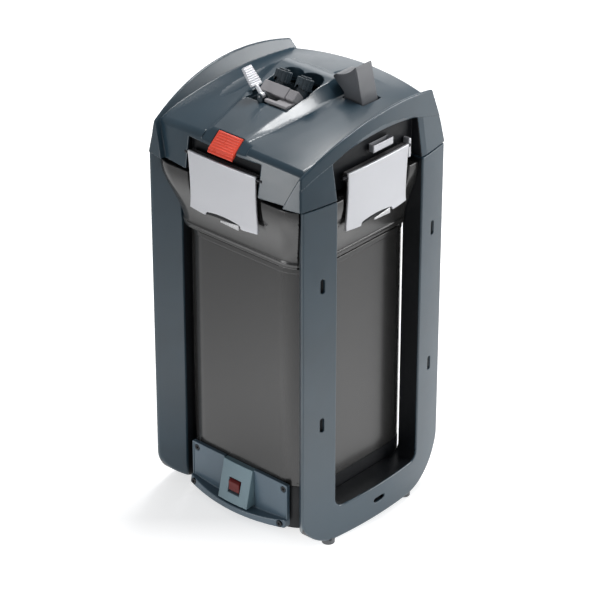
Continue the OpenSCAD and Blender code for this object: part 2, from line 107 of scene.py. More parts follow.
def polygon(u, v, points):
    """Signed distance to a closed outline in the plane."""
    u, v = np.broadcast_arrays(u, v)
    best = np.full(u.shape, 1e9)
    sign = np.ones(u.shape)
    for (ax, ay), (bx, by) in zip(points, points[1:] + points[:1]):
        ex, ey, wx, wy = bx - ax, by - ay, u - ax, v - ay
        t = np.clip((wx * ex + wy * ey) / (ex * ex + ey * ey), 0, 1)
        best = np.minimum(best, (wx - ex * t) ** 2 + (wy - ey * t) ** 2)
        above, below, left = v >= ay, v < by, ex * wy > ey * wx
        sign = np.where((above & below & left) | (~above & ~below & ~left), -sign, sign)
    return sign * np.sqrt(best)


def turned(u, v, centre, degrees):
    """The coordinates of (u, v) in a frame at centre that is turned by degrees from u towards v."""
    c, s = math.cos(math.radians(degrees)), math.sin(math.radians(degrees))
    du, dv = u - centre[0], v - centre[1]
    return du * c + dv * s, dv * c - du * s


# ---- meshing ----


def axis(low, high, step, *fine):
    """Grid positions from low to high; fine holds (start, end, step) stretches with a closer pitch."""
    marks, at = [low], low
    for start, end, close in sorted(fine) + [(high, high, step)]:
        for stop, pitch in ((start, step), (end, close)):
            if stop > at:
                n = max(1, math.ceil((stop - at) / pitch - 1e-6))
                marks += list(np.linspace(at, stop, n + 1)[1:])
                at = stop
    return np.array(marks)


def gradient(f, p, e=0.02):
    rows = []
    for k in range(3):
        step = np.zeros(3)
        step[k] = e
        rows.append((f(*(p + step).T) - f(*(p - step).T)) / (2 * e))
    return np.stack(rows, 1)


def surface_net(f, axes):
    """Vertices, outward normals and quads of the surface f = 0 on a grid."""
    x, y, z = (a.reshape(s) for a, s in zip(axes, ((-1, 1, 1), (1, -1, 1), (1, 1, -1))))
    d = np.broadcast_to(f(x, y, z), [len(a) for a in axes]).astype(np.float32)
    inside = d < 0
    n = [len(a) - 1 for a in axes]
    corners = [(i, j, k) for i in (0, 1) for j in (0, 1) for k in (0, 1)]
    count = sum(
        inside[i : i + n[0], j : j + n[1], k : k + n[2]].astype(np.int8) for i, j, k in corners
    )
    mixed = (count > 0) & (count < 8)
    ids = np.full(mixed.shape, -1, np.int64)
    cells = np.argwhere(mixed)
    ids[mixed] = np.arange(len(cells))
    total, hits = np.zeros((len(cells), 3)), np.zeros(len(cells))
    for k in range(3):
        for a, b in ((0, 0), (0, 1), (1, 0), (1, 1)):
            start = np.insert([a, b], k, 0)
            end = np.insert([a, b], k, 1)
            g0, g1 = cells + start, cells + end
            d0, d1 = d[tuple(g0.T)], d[tuple(g1.T)]
            m = (d0 < 0) != (d1 < 0)
            t = d0[m] / (d0[m] - d1[m])
            for q in range(3):
                low = axes[q][g0[m, q]]
                total[m, q] += low + t * (axes[q][g1[m, q]] - low)
            hits[m] += 1
    p = total / hits[:, None]
    for _ in range(4):
        g = gradient(f, p)
        size = np.maximum((g**2).sum(1), 0.05)
        p = p - np.clip(f(*p.T) / size, -1.5, 1.5)[:, None] * g
    g = gradient(f, p)
    normals = g / np.maximum(np.linalg.norm(g, axis=1), 1e-9)[:, None]
    quads = []
    for k in range(3):
        u, v = (k + 1) % 3, (k + 2) % 3
        low = [slice(None)] * 3
        high = [slice(None)] * 3
        low[k], high[k] = slice(0, -1), slice(1, None)
        for q in (u, v):
            low[q] = high[q] = slice(1, -1)
        a, b = inside[tuple(low)], inside[tuple(high)]
        at = np.argwhere(a != b)
        first = a[tuple(at.T)]
        at[:, u] += 1
        at[:, v] += 1
        ring = []
        for du, dv in ((-1, -1), (0, -1), (0, 0), (-1, 0)):
            c = at.copy()
            c[:, u] += du
            c[:, v] += dv
            ring.append(ids[tuple(c.T)])
        ring = np.stack(ring, 1)
        quads.append(np.where(first[:, None], ring, ring[:, ::-1]))
    return p, normals, np.concatenate(quads)


def solid(name, f, axes, body, slot, *nodes, turn=0, mirror=False, mesh_of=None):
    """A moulded piece from a distance function; mesh_of reuses another piece's points, turned or mirrored."""
    p, normals, quads = mesh_of or surface_net(f, axes)
    made = (p, normals, quads)
    if turn:
        m = np.array(Matrix.Rotation(math.radians(turn), 3, "Z"))
        p, normals = p @ m.T, normals @ m.T
    if mirror:
        flip = np.array([-1, 1, 1])
        p, normals, quads = p * flip, normals * flip, quads[:, ::-1]
    mesh = bpy.data.meshes.new(name)
    mesh.from_pydata((p * MM).tolist(), [], quads.tolist())
    mesh.polygons.foreach_set("use_smooth", np.ones(len(mesh.polygons), bool))
    mesh.normals_split_custom_set_from_vertices(normals.tolist())
    piece = bpy.data.objects.new(name, mesh)
    scene.collection.objects.link(piece)
    mesh.materials.append(MATERIALS[slot])
    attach(piece, body)
    if nodes:
        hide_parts(*nodes)
    return made


def paint(name, slot, where):
    """Gives the faces of a piece whose centres (in mm) pass the test another material; in this script that lays
    painted shade into gaps and recesses.
    """
    mesh = bpy.data.objects[name].data
    centres = np.empty(len(mesh.polygons) * 3)
    mesh.polygons.foreach_get("center", centres)
    chosen = where(*(centres.reshape(-1, 3).T / MM))
    mesh.materials.append(MATERIALS[slot])
    mesh.polygons.foreach_set("material_index", np.where(chosen, len(mesh.materials) - 1, 0))


# ---- materials ----


def node_material(name):
    m = bpy.data.materials.new(name)
    m.use_nodes = True
    tree = m.node_tree
    shader = tree.nodes["Principled BSDF"]
    place = tree.nodes.new("ShaderNodeTexCoord")
    return m, tree, shader, place.outputs["Object"]


def noise(tree, place, scale, detail=3.0, rough=0.5):
    n = tree.nodes.new("ShaderNodeTexNoise")
    n.inputs["Scale"].default_value = scale
    n.inputs["Detail"].default_value = detail
    n.inputs["Roughness"].default_value = rough
    tree.links.new(place, n.inputs["Vector"])
    return n.outputs["Fac"]


def ramp(tree, value, low, high, start=0.35, end=0.65):
    n = tree.nodes.new("ShaderNodeMapRange")
    n.inputs["From Min"].default_value = start
    n.inputs["From Max"].default_value = end
    n.inputs["To Min"].default_value = low
    n.inputs["To Max"].default_value = high
    tree.links.new(value, n.inputs["Value"])
    return n.outputs["Result"]


def mix_colour(tree, factor, a, b):
    n = tree.nodes.new("ShaderNodeMix")
    n.data_type = "RGBA"
    for socket, value in ((n.inputs[6], a), (n.inputs[7], b)):
        if isinstance(value, tuple):
            socket.default_value = (*value, 1)
        else:
            tree.links.new(value, socket)
    tree.links.new(factor, n.inputs[0])
    return n.outputs[2]


def plastic(
    name,
    colour,
    rough=0.4,
    grain=0.15,
    pitch=1400,
    edge_sheen=0.0,
    coat=0.0,
    metal=0.0,
    specular=0.5,
    spread=0.12,
    smear=0.15,
):
    """Moulded plastic: a fine spark-eroded grain and clouded colour, with convex edges painted paler as a highlight.
    """
    m, tree, shader, place = node_material(name)
    broad = noise(tree, place, 9, 4)
    fine = noise(tree, place, pitch, 2, 0.6)
    dark = tuple(c * (1 - spread) for c in colour)
    light = tuple(min(1, c * (1 + spread)) for c in colour)
    base = mix_colour(tree, ramp(tree, broad, 0, 1), dark, light)
    geometry = tree.nodes.new("ShaderNodeNewGeometry")
    # Painted highlight: sharp convex edges, found from pointiness, are mixed towards a paler colour.
    edge = ramp(tree, geometry.outputs["Pointiness"], 0, edge_sheen, 0.52, 0.62)
    pale = tuple(min(1, c * 1.5 + 0.05) for c in colour)
    tree.links.new(mix_colour(tree, edge, base, pale), shader.inputs["Base Color"])
    wiped = noise(tree, place, 38, 5, 0.65)
    tree.links.new(ramp(tree, wiped, rough * (1 - smear), rough * (1 + smear)), shader.inputs["Roughness"])
    bump = tree.nodes.new("ShaderNodeBump")
    bump.inputs["Strength"].default_value = grain
    bump.inputs["Distance"].default_value = 0.0002
    tree.links.new(fine, bump.inputs["Height"])
    tree.links.new(bump.outputs["Normal"], shader.inputs["Normal"])
    shader.inputs["Metallic"].default_value = metal
    shader.inputs["Specular IOR Level"].default_value = specular
    shader.inputs["Coat Weight"].default_value = coat
    shader.inputs["Coat Roughness"].default_value = 0.12
    return m


def metal(name, colour, rough, stretch):
    """Drawn metal: streaks along one axis."""
    m, tree, shader, place = node_material(name)
    mapping = tree.nodes.new("ShaderNodeMapping")
    mapping.inputs["Scale"].default_value = stretch
    tree.links.new(place, mapping.inputs["Vector"])
    streak = noise(tree, mapping.outputs["Vector"], 600, 3)
    dark = tuple(c * 0.7 for c in colour)
    tree.links.new(mix_colour(tree, ramp(tree, streak, 0, 1), dark, colour), shader.inputs["Base Color"])
    tree.links.new(ramp(tree, streak, rough * 0.7, rough * 1.3), shader.inputs["Roughness"])
    shader.inputs["Metallic"].default_value = 1.0
    return m


def porous(name, colour, depth, scale, spread=0.3, rough=0.9, bump_mm=1.2):
    """Foam, fleece or sintered media: pits and fibres from cell noise."""
    m, tree, shader, place = node_material(name)
    cells = tree.nodes.new("ShaderNodeTexVoronoi")
    cells.inputs["Scale"].default_value = scale
    tree.links.new(place, cells.inputs["Vector"])
    pits = ramp(tree, cells.outputs["Distance"], 0, 1, 0.1, 0.6)
    clouds = noise(tree, place, scale / 6, 4)
    dark = tuple(c * (1 - spread) for c in colour)
    # Painted shade: the pits are coloured darker than the surrounding media.
    pit_shade = tuple(c * (1 - spread) ** 2 for c in colour)
    base = mix_colour(tree, ramp(tree, clouds, 0, 1), dark, colour)
    tree.links.new(mix_colour(tree, pits, pit_shade, base), shader.inputs["Base Color"])
    tree.links.new(ramp(tree, clouds, rough - 0.1, rough), shader.inputs["Roughness"])
    bump = tree.nodes.new("ShaderNodeBump")
    bump.inputs["Strength"].default_value = depth
    bump.inputs["Distance"].default_value = bump_mm * MM
    tree.links.new(pits, bump.inputs["Height"])
    tree.links.new(bump.outputs["Normal"], shader.inputs["Normal"])
    return m


MATERIALS = {
    "slate_plastic": plastic("slate_plastic", (0.02, 0.042, 0.06), 0.3, grain=0.06, coat=0.2, smear=0.08),
    "smoke_plastic": plastic(
        "smoke_plastic", (0.021, 0.0205, 0.02), 0.24, grain=0.0, coat=0.25, spread=0.04, smear=0.05
    ),
    # Black for the parts that really are black; the same material is also laid on faces in gaps and recesses as
    # painted shade.
    "black_plastic": plastic("black_plastic", (0.008, 0.009, 0.011), 0.4, specular=0.3),
    "foot_rubber": plastic("foot_rubber", (0.1, 0.105, 0.11), 0.7, grain=0.4, pitch=900),
    "steel": metal("steel", (0.62, 0.62, 0.63), 0.3, (1, 1, 14)),
    "dark_steel": metal("dark_steel", (0.06, 0.06, 0.065), 0.4, (1, 1, 4)),
    "panel_plastic": plastic("panel_plastic", (0.06, 0.095, 0.125), 0.36, grain=0.2, coat=0.2),
    "panel_accent": plastic("panel_accent", (0.12, 0.185, 0.215), 0.42, grain=0.2),
    # The red tab's ribs and edges get the painted edge highlight.
    "red_plastic": plastic("red_plastic", (0.85, 0.075, 0.035), 0.3, grain=0.06, coat=0.3, edge_sheen=0.5),
    "board": plastic("board", (0.02, 0.12, 0.045), 0.35, grain=0.5, pitch=500, coat=0.4),
    "basket_plastic": plastic("basket_plastic", (0.05, 0.058, 0.066), 0.45),
    "media": porous("media", (0.6, 0.5, 0.38), 0.6, 160),
    "fleece": porous("fleece", (0.82, 0.82, 0.78), 0.35, 700, spread=0.12),
    "foam": porous("foam", (0.05, 0.14, 0.3), 0.8, 420, spread=0.4),
    "clip_plastic": plastic(
        "clip_plastic", (0.6, 0.605, 0.63), 0.34, grain=0.05, metal=0.45, coat=0.1, spread=0.02, smear=0.06
    ),
    "winding": metal("winding", (0.55, 0.26, 0.1), 0.35, (1, 1, 10)),
    "white_ceramic": plastic("white_ceramic", (0.8, 0.8, 0.78), 0.15, grain=0.02),
    "sail_plastic": plastic("sail_plastic", (0.12, 0.125, 0.135), 0.34, grain=0.2, coat=0.2),
    "adapter_plastic": plastic("adapter_plastic", (0.3, 0.29, 0.3), 0.42, grain=0.3),
    "nut_plastic": plastic("nut_plastic", (0.035, 0.05, 0.062), 0.28, grain=0.15, coat=0.2),
}
BARREL = plastic("barrel_plastic", (0.06, 0.058, 0.06), 0.22, grain=0.05, coat=0.4)


# ---- shared forms ----


def bowed_sides(x, y, z):
    return np.hypot(abs(x) - SIDE_ARC[0], y) - SIDE_ARC[1] + LEAN * np.maximum(z - SEAM, 0)


def bowed_fronts(x, y, z):
    return np.hypot(x, abs(y) - FRONT_ARC[0]) - FRONT_ARC[1] + LEAN * np.maximum(z - SEAM, 0)


# ---- side frames ----

WINDOW_HALF, WINDOW_FLOOR, WINDOW_R = 84.0, 56.0, 14.0
FRAME_SLOTS = [(-108, 195, 1), (-108, 403, 1), (112, 195, 1), (112, 403, 1), (0, 33, 0)]
BLADE_FACE = 3.4  # depth of the narrow flat along each blade


def frame_flank(x, y):
    return (abs(y) - x - (BLADE[1] - BLADE[0])) * math.sqrt(0.5)


def frame_leg(x, y, z):
    form = meet(bowed_sides(x, y, z), frame_flank(x, y), r=0.8)
    form = meet(form, abs(y) - (BLADE[1] - BLADE_FACE), r=0.8)
    inner = 105 - x + 7 * (np.clip(98 - abs(y), 0, 2) / 2)
    form = meet(form, inner, r=1.2)
    low_front = np.hypot(np.maximum(-y - 82, 0), np.maximum(66 - z, 0)) - 60
    low_back = np.hypot(np.maximum(y - 62, 0), np.maximum(86 - z, 0)) - 80
    form = meet(form, np.maximum(low_front, low_back), r=3)
    form = meet(form, z - (SEAM - 0.5), r=0.8)
    a = abs(y) - (WINDOW_HALF - WINDOW_R)
    b = WINDOW_FLOOR + WINDOW_R - z
    window = np.hypot(np.maximum(a, 0), np.maximum(b, 0)) + np.minimum(np.maximum(a, b), 0) - WINDOW_R
    form = cut(form, window, r=2)
    for sy, sz, upright in FRAME_SLOTS:
        du, dv = (y - sy, z - sz) if upright else (z - sz, y - sy)
        reach = np.hypot(du, np.maximum(abs(dv) - 7, 0)) - 3.4
        slot = np.maximum(reach, 138 - x)
        form = cut(form, slot, r=0.6)
    return form


frame_axes = (
    axis(98, 156, 1.6, (100, 115, 2.4)),
    axis(
        -148,
        148,
        2.4,
        (-146, -132, 1.0),
        (-114, -102, 1.1),
        (-88, -80, 1.1),
        (80, 88, 1.1),
        (106, 118, 1.1),
        (132, 146, 1.0),
    ),
    axis(0, 520, 6, (2, 72, 1.8), (182, 208, 1.3), (390, 416, 1.3), (512, 519, 0.8)),
)
leg_mesh = solid("frame_right", frame_leg, frame_axes, "can", "slate_plastic", "right_frame")
solid("frame_left", None, None, "can", "slate_plastic", "left_frame", mirror=True, mesh_of=leg_mesh)


# Painted shade: the frames' inner faces, facing the can, get the black material to stand in for the shadow in the
# gap between frame and can.
def frame_shaded_inside(x, y, z):
    x = abs(x)
    skin = np.maximum(np.maximum(bowed_sides(x, y, z), frame_flank(x, y)), abs(y) - BLADE[1] + BLADE_FACE)
    return (skin < -2.2) & (z > 12) & (z < SEAM - 1.5)


for side in ("right", "left"):
    paint(f"frame_{side}", "black_plastic", frame_shaded_inside)

# ---- can ----

COLLAR_TOP = 511.0


def can_shell(x, y, z):
    wall = rounded_square(x, y, CAN_HALF, CAN_R)
    lip = rounded_square(x, y, CAN_HALF + 1.0, CAN_R + 1.0)
    outer = meet(wall, 76 - z, z - 409.6, r=1.5)
    band = meet(lip, 402 - z, z - 409.6, r=0.9)
    form = join(outer, band, r=0.6)
    return cut(form, np.maximum(rounded_square(x, y, CAN_HALF - 4, CAN_R - 4), 81 - z), r=1)


def flare(z):
    t = np.clip((z - 418) / 88, 0, 1)
    return 119 + 22 * t * t * (3 - 2 * t)


def collar(x, y, z):
    """A bell that widens from the can to the seam, trimmed where the legs and the clips stand."""
    reach = flare(z) + 1.2 * np.exp(-(((z - 421) / 2.2) ** 2))
    corner = 78 + 17 * (reach - 119) / 22
    bell = rounded_square(x, y, reach, reach - corner) * 0.94
    sides = meet(bell + 2.4, abs(y) - (WINDOW_HALF - 0.6), r=1)
    fronts = meet(bell, (abs(x) - abs(y) + 9.4) * math.sqrt(0.5), r=1)
    core = rounded_square(x, y, CAN_HALF, CAN_R)
    skirt = meet(np.minimum(sides, fronts), 413 - z, r=2.5)
    form = meet(join(core, skirt, r=0.8), z - COLLAR_TOP, 410.2 - z, r=1.2)
    pockets = np.minimum(
        np.maximum(abs(x) - 64, 133.4 - abs(y)), np.maximum(abs(y) - 64, 129.4 - abs(x))
    )
    form = cut(form, np.maximum(pockets, 452 - z), r=2)
    return cut(form, rounded_square(x, y, CAN_HALF - 4, CAN_R - 4), r=1.2)


square_axis = axis(-116, 116, 3.0, (-115, -106, 1.0), (106, 115, 1.0))
can_axes = (square_axis, square_axis, axis(74, 412, 14, (75, 84, 0.8), (399, 411, 0.7)))
solid("can_body", can_shell, can_axes, "can", "smoke_plastic", "can_shell")
bell_axis = axis(-146, 146, 1.8)
collar_axes = (bell_axis, bell_axis, axis(408, 514, 1.8, (409, 425, 0.9)))
solid("can_bell", collar, collar_axes, "can", "smoke_plastic", "can_collar")

# ---- head ----

FIN_TOP, FIN_DRAFT = 3.4, 0.75  # thickness of a fin at its top edge, and how it grows below
FIN_ARC = (35.0, 262.0, 345.0)
PUMP_TAB = (-125.0, 580.0, 41.0)  # y and z of the tab's upper edge, and the slope of its seat
PORT_X = 18.7
LEVER_AT = (-18.0, -47.7, 602.0)


def spine_foot(y):
    return 48 - 18 * (np.maximum(-25 - y, 0) / 94) ** 1.3


def valley(x, y):
    """How far the dome is hollowed beside the foot of the spine."""
    fade = np.clip((y + 124) / 40, 0, 1) * np.clip((100 - y) / 50, 0, 1)
    return 3.5 * fade * np.clip(1 - (x - spine_foot(y)) / 36, 0, 1) ** 2 * (x > 0)


def dome(x, y, z):
    return np.sqrt(x * x + (y - 40) ** 2 + (z + 40) ** 2) - 640


def tongue(x, y, z):
    """The raised spine on the dome: flat on top, with a bright flank that widens to the rear."""
    top = 580 + (y + 122) * 0.21 - 24 * (np.maximum(y - 24, 0) / 50) ** 2
    crest = 23 + 0.04 * (y + 93) + 5 * np.clip((y + 5) / 30, 0, 1) ** 2
    foot = spine_foot(y)
    low = np.sqrt(640**2 - foot**2 - (y - 40) ** 2) - 40 - valley(foot, y)
    slope = np.clip((top - low) / (foot - crest), 0.03, 1.2)
    flank_right = (z - top + slope * (x - crest)) / np.sqrt(1 + slope**2)
    edge = (x - foot) * 0.7 + (z - low) * 0.7
    left = -34 - (y + 122) * 0.16
    flank_left = ((left - x) * 36 + (z - top) * 52) / math.hypot(36, 52)
    return meet(z - top, np.maximum(flank_right, edge), flank_left, r=0.8)


def tab_axes(y, z):
    return turned(y, z, PUMP_TAB[:2], PUMP_TAB[2])


def arch(y):
    return 581 - (y - 8) ** 2 / 620


def well_plan(x, y):
    a, b = abs(x + 8.5) - 35.5, abs(y + 19.75) - 31.75
    room = np.hypot(np.maximum(a, 0), np.maximum(b, 0)) + np.minimum(np.maximum(a, b), 0)
    lobes = np.minimum(np.hypot(x + 25, y - 12) - 19.5, np.hypot(x - 6.3, y - 13.5) - 20.7)
    return join(room, lobes, r=2)


def clip_bays(x, y, z):
    front = np.maximum(np.maximum(abs(x) - 63, 131 - abs(y)), z - 561.5)
    side = np.maximum(np.maximum(abs(y) - 84, 125 - abs(x)), z - arch(y))
    return np.minimum(front, side)


def head(x, y, z):
    sides, fronts = bowed_sides(x, y, z), bowed_fronts(x, y, z)
    band = np.maximum(8 * (1 - ((y - 8) / 90) ** 2), 0.6)
    scoop = np.clip(1 - (z - arch(y)) / band, 0, 1) * np.clip(band / 3, 0, 1) * 3.5
    blade = meet(sides + scoop, fronts, r=1.6)
    ridge = np.hypot(y - FIN_ARC[0], z - FIN_ARC[1]) - FIN_ARC[2]
    inner = -sides - FIN_TOP - FIN_DRAFT * np.clip(-ridge, 0, 40)
    fin = meet(meet(blade, ridge, r=1.0), inner * 0.84, y - 122 + 0.3 * (z - 601), r=0.9)
    dish = 1 - ((x + 79) / 13) ** 2 - ((y + 8) / 52) ** 2
    top = join(dome(x, y, z) + 2.2 * np.clip(dish, 0, 1) ** 0.6 + valley(x, y), tongue(x, y, z), r=1.5)
    body = meet(meet(fronts + 8, sides + 4, r=1), top, r=6.5)
    form = meet(join(body, fin, r=0.8), SEAM + 0.3 - z, r=0.8)
    hollow = np.maximum(np.maximum(np.maximum(fronts + 13, sides + 13), dome(x, y, z) + 7), -100.0)
    bays = clip_bays(x, y, z)
    form = np.maximum(form, -np.maximum(hollow, 5 - bays))
    form = cut(form, bays, r=1.2)
    form = cut(form, np.maximum(well_plan(x, y), 570 - z), r=1)
    form = cut(form, box(x, y, z, (52.5, 28.5, 560), (88.6, 64.2, 660), 1), r=0.8)
    form = cut(form, box(x, y, z, (-76, -58, 593), (-40, -37.4, 630), 1.5), r=0.8)
    v, w = tab_axes(y, z)
    seat = np.maximum(np.maximum(abs(x) - 38.5, v + 0.2), np.maximum(-w, -v - 62))
    recess = np.maximum(np.maximum(abs(x) - 22, v), np.maximum(-5 - w, -v - 62))
    form = cut(form, seat, r=1.5)
    return cut(form, recess, r=0.8)


head_axes = (
    axis(-154, 154, 1.9, (-60, -28, 1.3), (24, 60, 1.3), (118, 140, 1.3), (-140, -118, 1.3)),
    axis(-150, 150, 1.9, (-146, -104, 1.3)),
    axis(514, 626, 1.7, (555, 624, 1.3)),
)
solid("head_shell", head, head_axes, "head", "slate_plastic", "head_cover")
# Painted shade: faces inside the clip bays and down in the hose well get the black material to stand in for their
# shadow.
paint(
    "head_shell",
    "black_plastic",
    lambda x, y, z: (clip_bays(x, y, z) < 1.0)
    & (bowed_sides(x, y, z) < -1.5)
    & (bowed_fronts(x, y, z) < -9.5)
    | (np.maximum(well_plan(x, y), 596 - z) < 0.8) & (z < 596),
)


def hinge_lugs(x, y, z):
    """On each side, a block over the clip's barrel and a bracket at the rear end of its pin."""
    lug = box(abs(x), y, z, (126.5, -4, 552.5), (135.5, 35, 565.5), 1.2)
    return np.minimum(lug, box(abs(x), y, z, (126, 65, 522), (136.5, 70, 549), 1.2))


lug_axes = (axis(-140, 140, 1.2), axis(-144, 144, 1.2), axis(517, 564, 1.2))
solid("hinge_lugs", hinge_lugs, lug_axes, "head", "clip_plastic")

# ---- clips ----

CLIP_HALF = 60.0
CLIP_AXIS = 540.0


def clip_face(x, z):
    t = np.clip((474 - z) / 14, 0, 1)
    return x * x / 2400 + np.clip(540 - z, 0, 90) * 0.05 - 1.4 * t * t


def clip_plate(x, y, z):
    """The clip on the front, with y measured from its outer face: bowed, waisted, and notched for a finger."""
    face = clip_face(x, z)
    waist = CLIP_HALF - 1.8 * (1 - ((z - 506) / 44) ** 2).clip(0, 1)
    foot = 459.4 + 3.2 * (x / CLIP_HALF) ** 2
    plate = meet(face - y, y - face - 3.6, r=1.1)
    plate = meet(plate, abs(x) - waist, r=1.3)
    plate = meet(plate, z - 545.6, foot - z, r=1.0)
    notch = meet(z - 468.2 + 3.4 * (x / 31) ** 2, abs(x) - 31, r=3.5)
    return cut(plate, notch, r=0.8)


def clip_barrel(x, y, z):
    rod = np.hypot(y - 6.2, z - CLIP_AXIS) - 4.2
    top = box(x, y, z, (-59.4, 3.0, 533), (59.4, 12.4, 544.8), 1.0)
    ribs = np.maximum(abs(abs(x) - 52) - 2, box(x, y, z, (-60, 6.4, 474), (60, 11.4, 541), 1))
    form = np.minimum(join(meet(rod, abs(x) - 59.4, r=0.8), top, r=1), ribs)
    return cut(form, np.hypot(y - 6, z - CLIP_AXIS) - 2.05, r=0.2)


plate_axes = (axis(-63, 63, 1.4), axis(-8, 12, 0.9), axis(457, 549, 1.2))
barrel_axes = (axis(-62, 62, 1.6), axis(-2, 14, 0.8), axis(471, 549, 1.0))


def clip_set(kind, f, axes, slot, nodes=()):
    made = surface_net(f, axes)
    for side, turn, depth in (("front", 0, 147), ("right", 90, 143), ("back", 180, 147), ("left", 270, 143)):
        p, normals, quads = made
        moved = (p - np.array([0, depth, 0]), normals, quads)
        stands_for = [n + side for n in nodes]
        solid(f"{kind}_{side}", None, None, f"clip_{side[0]}", slot, *stands_for, turn=turn, mesh_of=moved)


clip_set("clip_plate", clip_plate, plate_axes, "clip_plastic", ["clip_"])
clip_set("clip_barrel", clip_barrel, barrel_axes, "clip_plastic")


def clip_notch_shade(x, y, z):
    """A black lip behind the finger notch, a dark sheet that stands in for the shade inside the notch."""
    face = clip_face(x, z)
    edge = 462.4 - 2.2 * (x / 33) ** 2
    return meet(meet(face + 2.2 - y, y - face - 6.2, r=0.6), abs(x) - 33, edge - z, z - 476, r=0.8)


def clip_spring(x, y, z):
    """The bent steel tongue that shows in the notch."""
    rise = 3.4 * np.clip((x + 6) / 33, 0, 1)
    form = meet(y - clip_face(x, z) - 2.4, clip_face(x, z) + 1.2 - y, r=0.5)
    return meet(form, abs(x - 11) - 16, z - 461.2 - rise, 458.8 - 0.6 * rise - z, r=0.6)


# Painted shade: a black sheet sits behind each clip's finger notch.
notch_shade_axes = (axis(-35, 35, 1.2), axis(0, 14, 0.8), axis(457, 478, 0.8))
clip_set("clip_notch_shade", clip_notch_shade, notch_shade_axes, "black_plastic")
spring_axes = (axis(-7, 29, 0.6), axis(2, 9, 0.4), axis(455, 467, 0.6))
clip_set("clip_spring", clip_spring, spring_axes, "steel")
for side in ("front", "right", "back", "left"):
    bpy.data.objects[f"clip_barrel_{side}"].data.materials[0] = BARREL

# ---- flow tab ----


def flow_tab(x, y, z):
    v, w = tab_axes(y, z)
    pad = box(x, v, w, (-21.5, -29.2, -4.6), (21.5, -0.6, -0.1), 1.0)
    crown = -0.9 * (x / 21.5) ** 2
    pad = join(pad, box(x, v, w - crown, (-20.5, -27.5, -3), (20.5, -1.6, 0.6), 0.8), r=0.5)
    for i in range(7):
        pad = join(pad, meet(np.hypot(v + 25.2 - i * 3.7, w - crown - 0.4) - 0.7, abs(x) - 18.6, r=0.3), r=0.4)
    lip = box(x, v, w, (-21.5, -32.9, -4.6), (21.5, -28, -1.7), 0.8)
    return join(pad, lip, r=0.5)


flow_tab_axes = (axis(-23, 23, 0.7), axis(-154, -120, 0.45), axis(548, 584, 0.45))
solid("tab_flow", flow_tab, flow_tab_axes, "tab", "red_plastic", "flow_tab")

# ---- primer sail ----

SAIL = [(85.5, 590), (73.2, 641.8), (70, 643.2), (37, 622), (34.9, 619), (36, 617.6), (54, 601.5), (54, 590)]


def sail(x, y, z):
    outline = np.maximum(polygon(x, z, SAIL), 47.5 - np.hypot(x - 34.5, z - 671))
    return meet(outline, abs(y - 46.5) - 15.9, r=1.1)


solid("primer_sail", sail, (axis(32, 88, 0.9), axis(29, 64, 0.9), axis(587, 646, 0.9)), "primer", "sail_plastic")


def primer_rod(x, y, z):
    r = np.hypot(x - 69, y - 46)
    shape = np.minimum(r - 5, np.maximum(r - 11.2, z - 530))
    shape = np.where(z < 561, np.minimum(r - 4, np.maximum(r - 11.2, z - 530)), shape)
    return meet(shape, 524 - z, z - 600, r=0.5)


rod_axes = (axis(56, 82, 0.9), axis(33, 59, 0.9), axis(522, 602, 1.0))
solid("primer_piston", primer_rod, rod_axes, "primer", "sail_plastic", "primer_button")

# ---- hose adapter, nuts and lever ----

BLOCK_AT, BLOCK_TILT = (-22.0, 606.0), 40
PORT_AT, PORT_TILT = (-16.0, 598.0), 62


def hose_adapter(x, y, z):
    v, w = turned(y, z, BLOCK_AT, BLOCK_TILT - 90)
    form = box(x, v, w, (-32, -9, -14), (11.5, 9, 2), 1.2)
    cap = box(x, v, w, (12.3, -8.6, -13.6), (26.2, 8.6, 1.6), 1.8)
    for i in range(5):
        cap = cut(cap, np.hypot(v + 7 - i * 3.5, w - 1.9) - 0.9, r=0.3)
        cap = cut(cap, np.hypot(x - 14.6 - i * 2.4, v + 9) - 0.8, r=0.3)
    form = np.minimum(join(form, box(x, v, w, (10, -7.4, -12), (14, 7.4, 0.4), 0.5), r=0.2), cap)
    skirt = box(x, y, z, (-12, -50.2, 595.5), (25.5, -31, 599.6), 0.8)
    skirt = cut(skirt, box(x, y, z, (-16, -44.6, 590), (4, -30, 605), 0.8), r=0.5)
    form = np.minimum(form, skirt)
    for side in (-1, 1):
        leg = np.hypot(x - side * PORT_X, y + 24)
        form = np.minimum(form, np.maximum(leg - 7.4, abs(z - 580) - 18))
        form = np.maximum(form, -np.maximum(leg - 5.6, z - 593))
    return form


def hose_ports(x, y, z):
    """The two tilted tails, each with a barb and a bore."""
    v, w = turned(y, z, PORT_AT, PORT_TILT - 90)
    r = np.hypot(abs(x) - PORT_X, v)
    pipe = np.where(w < 12, r - 7.9, r - 7.3)
    form = meet(pipe, -w, w - 29.5, r=0.8)
    return cut(form, np.maximum(r - 6, 1 - w), r=0.5)


adapter_axes = (axis(-41, 42, 0.8), axis(-54, 12, 0.8), axis(558, 634, 0.8))
solid("adapter_block", hose_adapter, adapter_axes, "adapter", "adapter_plastic", "hose_adapter")
port_axes = (adapter_axes[0], axis(-30, 16, 0.8), axis(590, 632, 0.8))
solid("adapter_ports", hose_ports, port_axes, "adapter", "nut_plastic")


def hose_nut(x, y, z):
    v, w = turned(y, z, PORT_AT, PORT_TILT - 90)
    r, a = np.hypot(x, v), np.arctan2(v, x)
    form = meet(r - 11.45, abs(w - 19.7) - 7.5, r=1.2)
    fold = (a + math.pi / 12) % (math.pi / 6) - math.pi / 12
    form = cut(form, np.hypot(r * np.cos(fold) - 12.2, r * np.sin(fold)) - 1.5, r=0.5)
    return cut(form, r - 7.6, r=0.6)


